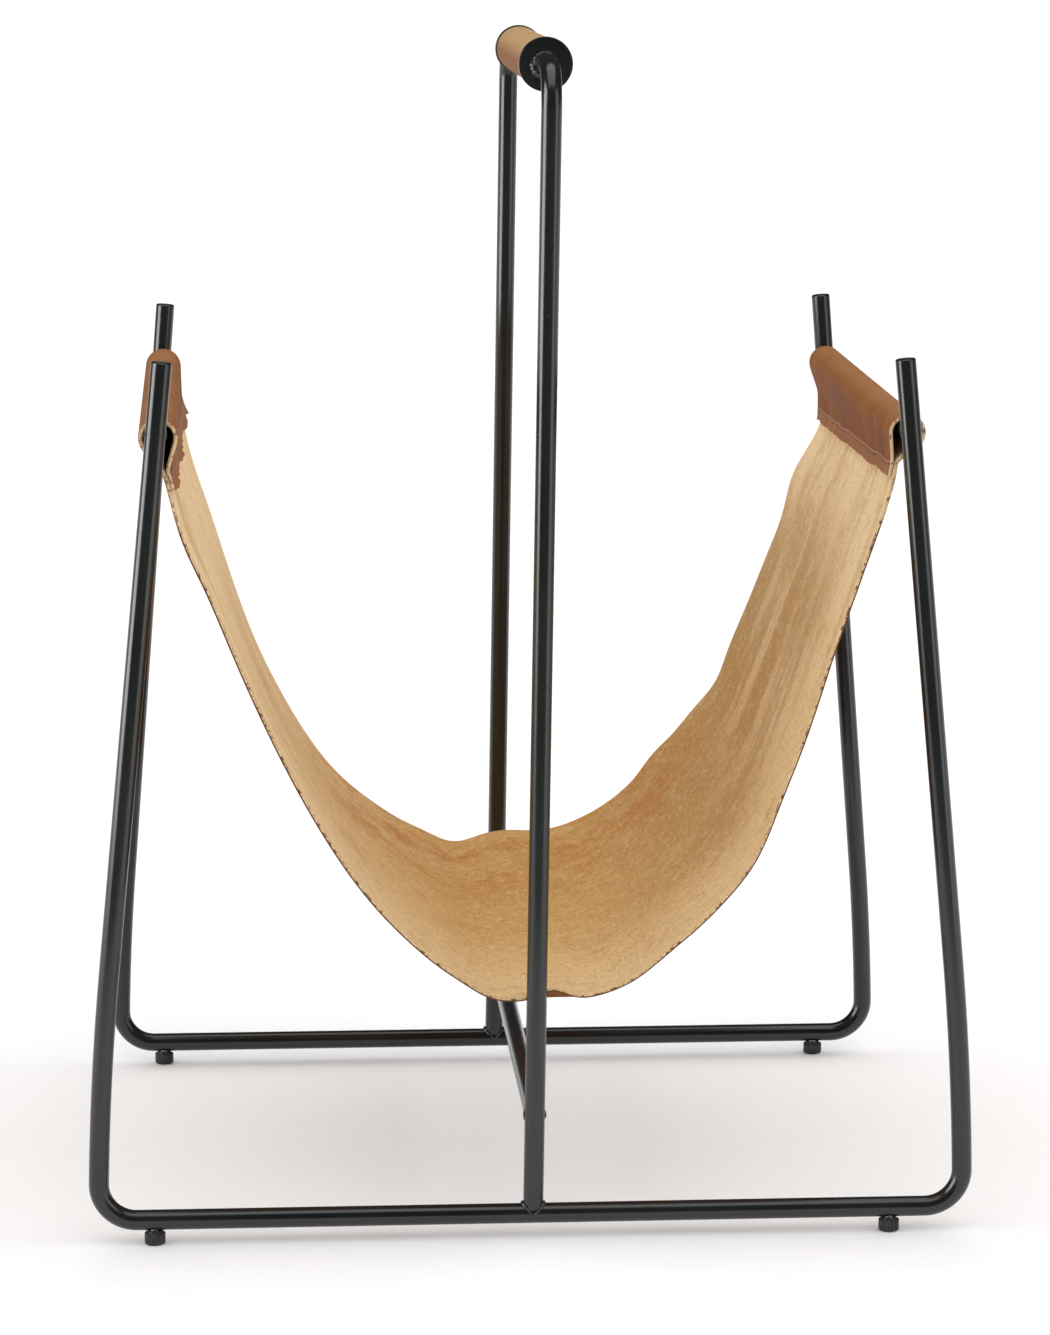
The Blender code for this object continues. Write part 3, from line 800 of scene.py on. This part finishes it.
def grip(coat, weld, cover, edge, wood):
    """Two discs welded on the rod, with the leather cover between them."""
    centre = Vector((0, GRIP_Y, HANDLE_TOP))
    turn = [pi / 2 * i / 4 for i in range(5)]
    hole = ROD_R + GRIP_GAP
    near, far = GRIP_HALF - DISC_THICK, GRIP_HALF
    for side, sign in SIDES.items():
        r, e = DISC_R[side] - DISC_ROUNDING, DISC_ROUNDING
        profile = [(hole, near), (r, near)]
        profile += [(r + e * sin(a), near + e * (1 - cos(a))) for a in turn[1:]]
        profile += [(r + e * cos(a), far - e * (1 - sin(a))) for a in turn] + [(hole, far)]
        loops = ring_loops([(p, sign * y) for p, y in profile], GRIP_SIDES, centre)
        disc = skinned(side + "_disc", loops, coat, closed=True, sharp=30)
        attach(disc, "body")
        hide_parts(side + "_grip_disc")
        disc_weld(side, centre, weld)
    grip_cover_piece(centre, cover, edge)
    frame["nodes"]["grip_core"].data.materials.clear()
    frame["nodes"]["grip_core"].data.materials.append(wood)


def grip_cover_piece(centre, cover, edge):
    """Leather rolled round the core; its two long edges meet in a groove underneath."""
    half = GRIP_HALF - DISC_THICK - GRIP_GAP
    soft = COVER_ROUNDING

    def shape(radius, angle, y):
        """The cover's radius, with its waves and its groove."""
        if radius <= CORE_R:
            return radius
        wave = COVER_WAVE * wander(cos(angle) * 1.3, sin(angle) * 1.3, y * 45)
        seam = abs((angle + pi / 2 + pi) % (2 * pi) - pi) * LEATHER_R
        return radius + wave - COVER_WAVE - SEAM_DEPTH * np.exp(-(seam / SEAM_WIDTH) ** 2)

    ys = np.linspace(-half + 2 * soft, half - 2 * soft, COVER_STEPS)
    rounding = [(0.45, 0.0), (0.85, 0.25), (1.0, 0.7)]
    outside = [(LEATHER_R - soft * (1 - r), -half + soft * y) for r, y in rounding]
    outside += [(LEATHER_R, y) for y in ys]
    outside += [(LEATHER_R - soft * (1 - r), half - soft * y) for r, y in rounding[::-1]]
    profile = [(CORE_R, -half)] + outside + [(CORE_R, half)]
    loops = ring_loops(profile, COVER_SIDES, centre, shape)
    obj = skinned("grip_wrap", loops, cover, edge, closed=True, sharp=50)
    store(obj.data, "depth", np.full(len(obj.data.vertices), 0.3))
    rows = len(profile)
    cut_rows = (0, 1, rows - 3, rows - 2, rows - 1)
    for i, face in enumerate(obj.data.polygons):
        face.material_index = int(i // COVER_SIDES in cut_rows)
    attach(obj, "body")
    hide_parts("grip_leather")


# -------- sling

def smoothed(points, passes):
    """Rounds the kinks of an open line of points; its two ends stay."""
    points = points.copy()
    for _ in range(passes):
        points[1:-1] = 0.5 * points[1:-1] + 0.25 * (points[:-2] + points[2:])
    return points


def lengths(points):
    """Distance along a line of points, at each point."""
    return np.concatenate(((0,), np.cumsum(np.linalg.norm(np.diff(points, axis=0), axis=1))))


def at(points, where, values=None):
    """A line's points, or values that go with them, at distances along it."""
    along = lengths(points)
    values = points if values is None else values
    return np.stack([np.interp(where, along, values[:, i]) for i in (0, 1)], axis=-1)


def resampled(points, count):
    """The same line with evenly spaced points."""
    return at(points, np.linspace(0, lengths(points)[-1], count))


def normals_of(points):
    """Unit normals of a line, a quarter turn on from its direction."""
    slope = np.gradient(points, axis=0)
    slope /= np.linalg.norm(slope, axis=1)[:, None]
    return np.stack((-slope[:, 1], slope[:, 0]), axis=1)


def corner(hand, blend):
    """(x, z) on the sheet's middle where a sleeve closes and where its flap ends."""
    sign = HANDS[hand]
    closing = np.array((sign * (between(BAR_X, blend) - between(CLOSING_IN[hand], blend)),
                        BAR_Z - between(CLOSING_DROP[hand], blend)))
    lean = between(FLAP_LEAN[hand], blend)
    return closing, closing - between(FLAP[hand], blend) * np.array((sign * sin(lean), cos(lean)))


def sag_line(blend):
    """Middle surface of the sag, from the left closing point to the right one."""
    left_closing, left_end = corner("left", blend)
    right_closing, right_end = corner("right", blend)
    low = between(SLING_LOW, blend)
    t = np.linspace(-1, 1, SAG_POINTS)
    share = np.abs(t) ** between(SLING_POWER, blend)
    height = low + share * np.where(t < 0, left_end[1] - low, right_end[1] - low)
    x = (left_end[0] * (1 - t) + right_end[0] * (1 + t)) / 2 + between(SLING_SHIFT, blend) * (1 - share)
    line = np.concatenate(([left_closing], np.stack((x, height), axis=1), [right_closing]))
    line = smoothed(resampled(line, SHAPED_POINTS), SAG_SMOOTHING)
    place = lengths(line) / lengths(line)[-1]
    push = sum(between((front * MM, back * MM), blend) * np.exp(-((place - where) / width) ** 2)
               for where, width, front, back in CREASES)
    fade = np.clip(np.minimum(place, 1 - place) / SAG_FADE, 0, 1)
    return line + (push * fade)[:, None] * normals_of(line)


def sleeve_line(hand, blend, sag):
    """Middle surface of a sleeve, from its flap's raw edge over the bar to the closing point."""
    sign, radius = HANDS[hand], SLEEVE_R[hand]
    closing, _ = corner(hand, blend)
    centre = np.array((sign * (between(BAR_X, blend) + SLEEVE_OUT - radius), BAR_Z + SLEEVE_TOP - radius))
    drop = np.linalg.norm(closing - centre)
    down = (closing - centre) / drop
    inward = sign * np.array((down[1], -down[0]))
    open_angle = acos(radius / drop)
    turn = np.linspace(open_angle, 2 * pi - open_angle, RING_POINTS)
    ring = np.array([centre + radius * (cos(a) * down + sin(a) * inward) for a in turn])
    if sign > 0:
        sag = sag[::-1]
    wave = wander(blend * 11, sign * 7, 2) + 0.5 * wander(blend * 31, sign, 8)
    where = np.linspace(between(FLAP[hand], blend) + FLAP_WAVE[hand] * wave, 0, FLAP_POINTS)
    lift = (LEATHER + FLAP_GAP) * -sign
    flap = at(sag, where) + lift * at(sag, where, normals_of(sag))
    return np.concatenate((flap, ring))


def section(blend):
    """Middle surface of the whole sheet: left flap, left sleeve, sag, right sleeve, right flap."""
    sag = sag_line(blend)
    left, right = sleeve_line("left", blend, sag), sleeve_line("right", blend, sag)
    line = np.concatenate((left, sag[1:-1], right[::-1]))
    fine = resampled(line, SECTION_STEPS * SECTION_FINENESS)
    return smoothed(fine, SECTION_SMOOTHING)[::SECTION_FINENESS]


def sheet_length():
    """The sheet's flat length: the line through the middle of its section, half way back."""
    return float(lengths(section(0.5))[-1])


def edge_wave(place, side):
    """How far the cut edge strays from a straight cut, along the sheet."""
    return EDGE_SWAY * wander(place * 9, side * 5, 0) + EDGE_NICKS * wander(place * 60, side * 5, 3)


def flap_lift(hand, run, blend):
    """How far the flap stands off the sheet at a distance run from its raw edge."""
    near = np.clip(1 - run / between(FLAP[hand], blend), 0, 1)
    side = HANDS[hand]
    wave = 0.45 + 1.2 * wander(blend * 9, side * 9, 1.5) + 0.7 * wander(blend * 24, side, 4)
    return FLAP_LIFT[hand] * near ** 2 * max(0.0, wave)


def sling_grid():
    """Middle points, facing directions and distances to the raw edge, by station and point."""
    inner = np.arange(SLING_HALF - EDGE_STEPS[-1], 0, -STEP_ALONG)
    inner = np.concatenate((-inner, [0.0], inner[::-1]))
    edges = [SLING_HALF - step for step in EDGE_STEPS]
    ys = np.concatenate(([-e for e in edges[:-1]], inner, edges[:-1][::-1]))
    grid, facing, runs = [], [], []
    for y in ys:
        blend = (y / SLING_HALF + 1) / 2
        line = section(blend)
        normal = normals_of(line)
        along = lengths(line)
        lift = flap_lift("left", along, blend) + flap_lift("right", along[-1] - along, blend)
        curl = LIP_RISE * np.exp(-((along / along[-1] - LIP_PLACE) / LIP_WIDTH) ** 2)
        curl *= np.exp(-((SLING_HALF + y) / LIP_REACH) ** 2)
        line = line + (curl - lift)[:, None] * normal
        zone = EDGE_ZONE * SLING_HALF
        near_edge = np.clip((abs(y) - SLING_HALF + zone) / zone, 0, 1) ** 2
        wave = np.array([edge_wave(place, np.sign(y)) for place in along / along[-1]])
        wave = (wave - EDGE_SETBACK) * near_edge * np.sign(y)
        grid.append(np.stack((line[:, 0], y + wave, line[:, 1]), axis=1))
        facing.append(np.stack((normal[:, 0], np.zeros(len(line)), normal[:, 1]), axis=1))
        runs.append(np.minimum(along, along[-1] - along))
    return np.array(grid), np.array(facing), np.array(runs)


def sling(inner_mat, outer_mat, edge_mat):
    """One sheet of thick leather, suede side in, with a sleeve over each cross bar."""
    grid, facing, runs = sling_grid()
    stations, points = grid.shape[:2]
    thinning = np.ones(stations)
    thinning[:len(EDGE_THINNING)] = EDGE_THINNING
    thinning[-len(EDGE_THINNING):] = EDGE_THINNING[::-1]
    half = LEATHER / 2 * thinning[:, None, None]
    inside, outside = grid + half * facing, grid - half * facing
    bm = bmesh.new()
    loops = [np.concatenate((inside[i], outside[i][::-1])) for i in range(stations)]
    rings = [[bm.verts.new(p) for p in loop] for loop in loops]
    around = 2 * points
    for a, b in zip(rings, rings[1:]):
        for i in range(around):
            j = (i + 1) % around
            face = bm.faces.new((a[i], a[j], b[j], b[i]))
            face.material_index = INNER if i < points - 1 else OUTER
            if i in (points - 1, around - 1):
                face.material_index = CUT
    for ring in (rings[0], rings[-1]):
        for i in range(points - 1):
            face = bm.faces.new((ring[i], ring[i + 1], ring[around - 2 - i], ring[around - 1 - i]))
            face.material_index = CUT
    obj = add_object("sling_sheet", bm, inner_mat, outer_mat, edge_mat, sharp=60)
    paint_sling(obj, runs)
    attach(obj, "body")
    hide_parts("sling")
    return obj


def paint_sling(obj, runs):
    """Stores on each vertex how worn it is and how much painted highlight it takes, its distance to the
    raw edge and the face that it is on.
    """
    mesh = obj.data
    co = np.zeros(len(mesh.vertices) * 3, np.float32)
    mesh.vertices.foreach_get("co", co)
    co = co.reshape(-1, 3)
    # the sleeves' tops over the bars take fold wear and a painted highlight; the rims near the front and
    # back edges are worn
    top_wear_and_highlight = np.clip((co[:, 2] - (BAR_Z + 3 * MM)) / (6 * MM), 0, 1)
    rim = np.clip((np.abs(co[:, 1]) - (SLING_HALF - RIM_WEAR)) / RIM_WEAR, 0, 1)
    face_side = np.ones(runs.shape)
    store(mesh, "wear_and_highlight", np.maximum(0.45 * top_wear_and_highlight, 0.5 * rim))
    store(mesh, "run", np.concatenate((runs, runs[:, ::-1]), axis=1).ravel())
    store(mesh, "depth", np.concatenate((-face_side, face_side), axis=1).ravel())


def stitches(mat):
    """Saddle stitches that close each sleeve, each one a short thread pulled into the flap."""
    made = []
    for hand, sign in HANDS.items():
        bm = bmesh.new()
        for y in np.arange(-SLING_HALF + STITCH_END, SLING_HALF - STITCH_END, STITCH_PITCH):
            blend = (y / SLING_HALF + 1) / 2
            line = section(blend)
            if sign > 0:
                line = line[::-1]
            facing = at(line, SEAM, normals_of(line)) * sign
            lift = flap_lift(hand, SEAM, blend)
            surface = at(line, SEAM) + facing * (LEATHER / 2 + lift - STITCH_SINK)
            stitch_loops(bm, y, surface, facing)
        obj = add_object(hand + "_stitches", bm, mat)
        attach(obj, "body")
        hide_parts(hand + "_seam_thread")
        made.append(obj)
    return made


def stitch_loops(bm, y, surface, facing):
    """One stitch: a thread that rises out of the leather, runs along Y and dives back in."""
    steps = 7
    path, radii = [], []
    for i in range(steps):
        t = i / (steps - 1)
        rise = THREAD_R * (1.4 * sin(pi * t) ** 0.6 - 0.9)
        x, z = surface + facing * rise
        path.append((x, y + STITCH_LENGTH * (t - 0.5), z))
        radii.append(THREAD_R * (0.75 + 0.25 * sin(pi * t)))
    across = np.array((facing[1], 0.0, -facing[0]))
    skin(bm, tube_loops(path, radii, across, sides=8))


# -------- feet

def upright_loop(centre, radii, turn, z):
    """A loop round an upright axis, with its own radius at each angle."""
    return [(centre.x + r * cos(a), centre.y + r * sin(a), z) for r, a in zip(radii, turn)]


def foot(side, hand, plastic, metal):
    """A moulded foot with rounded ribs and a neck, and its threaded stud."""
    body = f"{side}_{hand}_foot_body"
    node = f"{side}_{hand}_foot"
    low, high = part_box(node)
    centre, outer = middle(node), radius_of(node)
    body_top = low.z + FOOT_BODY
    bevel = 0.3 * MM
    profile = [  # radius, height and how deep the ribs are cut there
        (FOOT_HOLE_R, low.z + FOOT_SOLE, 0), (FOOT_HOLE_R, high.z, 0),
        (NECK_R - bevel, high.z, 0), (NECK_R, high.z - bevel, 0),
        (NECK_R, body_top + bevel, 0), (NECK_R + 0.2 * MM, body_top, 0),
        (outer - 0.6 * MM, body_top, 0.6), (outer - 0.15 * MM, body_top - 0.15 * MM, 1),
        (outer, body_top - 0.5 * MM, 1), (outer, low.z + 1.1 * MM, 1),
        (outer - 0.1 * MM, low.z + 0.6 * MM, 1), (outer - 0.4 * MM, low.z + 0.2 * MM, 0.7),
        (outer - 1.0 * MM, low.z, 0)]
    turn = circle(FOOT_RIBS * 8)
    rib = RIB_DEPTH * (0.5 - 0.5 * np.cos(FOOT_RIBS * turn)) ** 2
    loops = [upright_loop(centre, radius - share * rib, turn, z) for radius, z, share in profile]
    pad = skinned(node + "_pad", loops, plastic, sharp=50)
    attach(pad, body)
    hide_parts(node)
    threaded_stud(side, hand, metal)


def threaded_stud(side, hand, metal):
    """A stud whose surface follows the thread's helix."""
    node = f"{side}_{hand}_stud"
    low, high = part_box(node)
    centre, outer = middle(node), radius_of(node)
    turn = circle(STUD_SIDES)
    loops = []
    for z in np.linspace(low.z, high.z, STUD_LEVELS):
        taper = min(1.0, min(z - low.z, high.z - z) / THREAD_RUN_OUT + 0.25)
        phase = ((z - low.z) / THREAD_PITCH - turn / (2 * pi)) % 1
        groove = THREAD_DEPTH * (1 - np.abs(2 * phase - 1)) * taper + (1 - taper) * THREAD_DEPTH
        loops.append(upright_loop(centre, outer - groove, turn, z))
    stud = skinned(node + "_thread", loops, metal, sharp=30)
    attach(stud, f"{side}_{hand}_stud_body")
    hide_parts(node)


# -------- studio

def camera():
    """Looks at the rack from the front, a little from the left and from above."""
    forward = Vector((sin(CAMERA_YAW) * cos(CAMERA_PITCH), cos(CAMERA_YAW) * cos(CAMERA_PITCH),
                      -sin(CAMERA_PITCH)))
    right = Vector((cos(CAMERA_YAW), -sin(CAMERA_YAW), 0))
    up = right.cross(forward)
    turned_right = cos(CAMERA_ROLL) * right + sin(CAMERA_ROLL) * up
    turned_up = -sin(CAMERA_ROLL) * right + cos(CAMERA_ROLL) * up
    data = bpy.data.cameras.new("camera")
    data.lens = CAMERA_LENS
    data.sensor_width = CAMERA_SENSOR
    data.clip_end = 100.0
    obj = link("camera", data)
    rotation = Matrix((turned_right, turned_up, -forward)).transposed().to_4x4()
    obj.matrix_world = Matrix.Translation(CAMERA_PLACE) @ rotation
    bpy.context.scene.camera = obj


def floor():
    """A sweep of white paper that starts in front of the rack and runs far back."""
    bm = bmesh.new()
    bmesh.ops.create_grid(bm, x_segments=24, y_segments=40, size=0.5)
    depth = FLOOR_BACK - FLOOR_FRONT
    for v in bm.verts:
        v.co = (v.co.x * FLOOR_WIDTH, FLOOR_FRONT + (v.co.y + 0.5) * depth, -FLOOR_DROP)
    paper = add_object("floor", bm, floor_paper())


def panel(name, place, size, power, diffuse=True, glossy=True):
    """A soft rectangular light that faces the rack, for soft shading, reflections or both."""
    data = bpy.data.lights.new(name, "AREA")
    data.shape = "RECTANGLE"
    data.size, data.size_y = size
    data.energy = power
    obj = link(name, data)
    obj.location = place
    facing = Vector(LIGHT_AIM) - Vector(place)
    obj.rotation_euler = facing.to_track_quat("-Z", "Y").to_euler()
    obj.visible_camera = False
    obj.visible_diffuse = diffuse
    obj.visible_glossy = glossy


def lights():
    """Strips at both sides and above, which the rods reflect, and a soft key from the upper right."""
    panel("left_strip", (-2.6, -0.55, 0.7), (1.7, 3.0), 115.0, diffuse=False)
    panel("right_strip", (2.3, -1.5, 0.7), (1.4, 3.0), 22.0, diffuse=False)
    panel("top_strip", (0.0, -0.3, 3.0), (3.0, 3.0), 52.0, diffuse=False)
    panel("key", (1.1, -1.4, 2.7), (3.8, 3.8), 11.0, glossy=False)


def world():
    """Even white light all round; reflections see it bright behind at the right, dim elsewhere."""
    made = bpy.data.worlds.new("studio")
    bpy.context.scene.world = made
    made.use_nodes = True
    n = Nodes(made.node_tree)
    n.tree.nodes.clear()
    split = n.node("SeparateXYZ", {"Vector": n.node("TexCoord").outputs["Generated"]})
    shares = [n.spread(split.outputs[axis], dim_at, bright_at, dim)
              for axis, dim_at, bright_at, dim in REFLECTED]
    product = n.times(n.times(shares[0], shares[1]), shares[2])
    reflected = n.node("Background", {"Strength": product}).outputs["Background"]
    even = n.node("Background", {"Color": (1, 1, 1, 1), "Strength": WORLD_STRENGTH}).outputs["Background"]
    glossy = n.node("LightPath").outputs["Is Glossy Ray"]
    chosen = n.node("MixShader", {"Fac": glossy, 1: even, 2: reflected}).outputs["Shader"]
    n.node("OutputWorld", {"Surface": chosen})


# -------- everything

def main():
    """The studio first, then every piece of the rack."""
    camera()
    world()
    lights()
    floor()
    coat, weld, edge = powder_coat(), weld_steel(), cut_edge()
    for side in SIDES:
        side_frame(side, coat)
    for hand, sign in HANDS.items():
        ends = [(sign * x, BAR_Z) for x in BAR_X]
        coped_rod(hand + "_bar_rod", hand + "_cross_bar", *ends, coat)
    ends = [(0, STRETCHER_HEIGHT)] * 2
    coped_rod("stretcher_rod", "stretcher", *ends, coat, HANDLE_PLACE)
    handle_loop(coat)
    welds(weld)
    grip(coat, weld, grip_cover(), edge, core_wood())
    sheet = sling(suede(), grain_leather(), edge)
    thread = stitches(waxed_thread())
    sheet_length()
    plastic, metal = foot_plastic(), zinc()
    for side in SIDES:
        for hand in HANDS:
            foot(side, hand, plastic, metal)
    bpy.context.scene.view_settings.view_transform = "Standard"


main()
